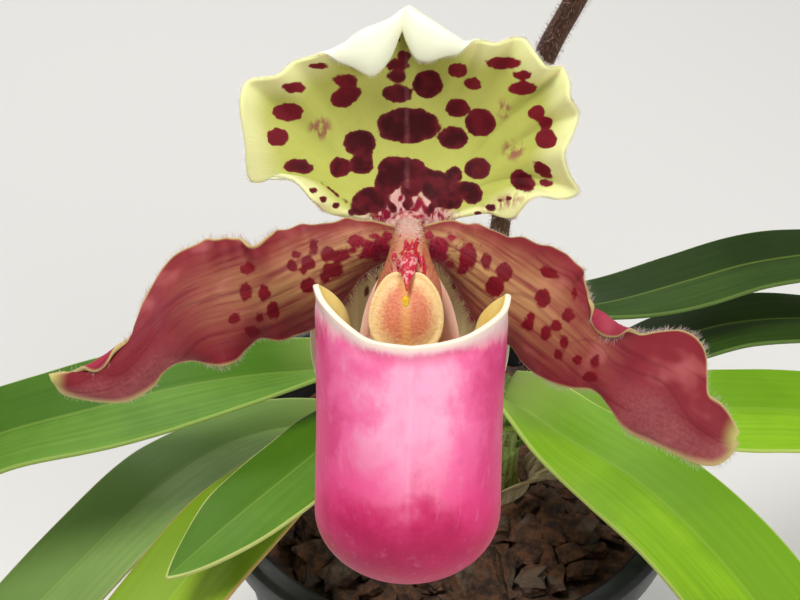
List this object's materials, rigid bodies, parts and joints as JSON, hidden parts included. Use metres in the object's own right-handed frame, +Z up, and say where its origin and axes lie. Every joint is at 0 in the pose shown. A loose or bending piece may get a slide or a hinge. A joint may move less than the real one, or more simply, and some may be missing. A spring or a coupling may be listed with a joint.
{
  "type": "paphiopedilum orchid",
  "caption": "Potted slipper orchid: strap leaves, an arching scape with a spotted, pink-pouched flower, and a taller scape that carries a closed bud.",
  "frame": {"origin": "centre of the pot's flat underside", "axes": "+Z up, the pot's axis; the open flower faces -Y and looks up; +X to the right of a viewer who faces the flower"},
  "size_m": [0.2539, 0.1583, 0.2464],
  "materials": {
    "pot_plastic": "satin",
    "bark": "matte",
    "sheath_green": "satin",
    "leaf": "satin",
    "dry_sheath": "matte",
    "scape": "matte",
    "bract": "matte",
    "dorsal": "satin",
    "synsepal": "satin",
    "petal": "satin",
    "pouch": "gloss",
    "column": "satin"
  },
  "bodies": {
    "root": {"pot": "pot_plastic", "potting_medium": "bark", "growth_1": "sheath_green", "growth_2": "sheath_green", "leaf_left_1": "leaf", "leaf_left_2": "leaf", "leaf_left_3": "leaf", "leaf_left_4": "leaf", "leaf_right_1": "leaf", "leaf_right_2": "leaf", "leaf_right_3": "leaf", "leaf_right_4": "leaf", "dry_sheath_1": "dry_sheath", "dry_sheath_2": "dry_sheath", "scape_1": "scape", "ovary_1": "scape", "bract_1": "bract", "scape_2": "scape", "bud_2": "bract", "bract_2": "bract", "dorsal_sepal": "dorsal", "synsepal": "synsepal", "petal_left": "petal", "petal_right": "petal", "lip_pouch": "pouch", "column": "column"}
  },
  "joints": []
}
